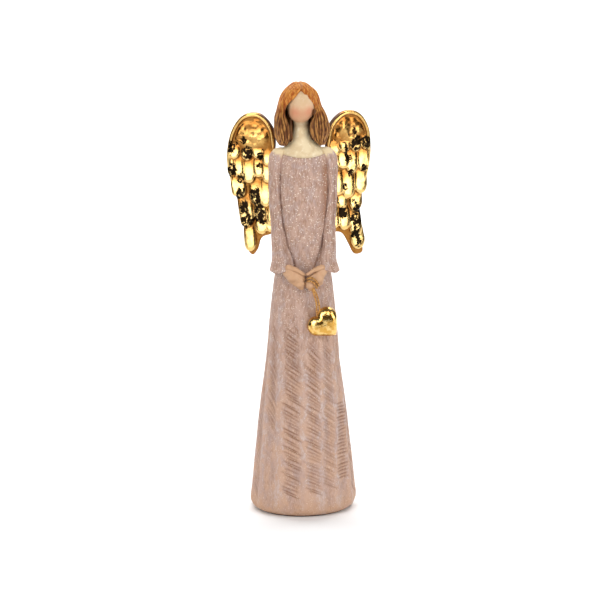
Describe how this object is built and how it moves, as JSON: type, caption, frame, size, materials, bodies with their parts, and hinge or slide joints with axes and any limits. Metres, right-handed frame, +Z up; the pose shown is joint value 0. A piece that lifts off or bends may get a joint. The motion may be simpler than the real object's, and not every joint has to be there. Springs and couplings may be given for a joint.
{
  "type": "angel figurine",
  "caption": "Slim standing angel figurine in a long scored gown, with gilded wings and a small heart on a cord in its joined hands; stands on a felt-covered base.",
  "frame": {"origin": "on the surface that the figurine stands on, under the middle of the gown's oval base", "axes": "+Z up, the figure faces -Y, and its right side is -X"},
  "size_m": [0.1009, 0.067, 0.3],
  "materials": {
    "gown_paint": "matt dusty rose paint with pale dry-brushed ridges, brown wash in the scored lines and fine glitter",
    "skin_paint": "satin cream paint, pink blush on the cheeks",
    "hair_paint": "satin copper paint over carved strands with a dark wash",
    "gold_leaf": "bright gold leaf over resin, dark patina in the grooves",
    "cord_gilding": "gold paint over a cast cord",
    "felt": "dark felt",
    "plug_resin": "bare resin",
    "steel": "plain drawn wire"
  },
  "bodies": {
    "root": {"gown": "gown_paint", "right_sleeve": "gown_paint", "left_sleeve": "gown_paint", "right_hand": "skin_paint", "left_hand": "skin_paint", "head": "skin_paint", "hair": "hair_paint", "right_wing": "gold_leaf", "left_wing": "gold_leaf", "heart": "gold_leaf", "heart_cord": "cord_gilding", "cord_hand_wrap": "cord_gilding", "felt_pad": "felt", "bottom_plug": "plug_resin", "neck_pin": "steel", "heart_pin": "steel", "right_wing_pin_upper": "steel", "right_wing_pin_lower": "steel", "left_wing_pin_upper": "steel", "left_wing_pin_lower": "steel"}
  },
  "joints": []
}
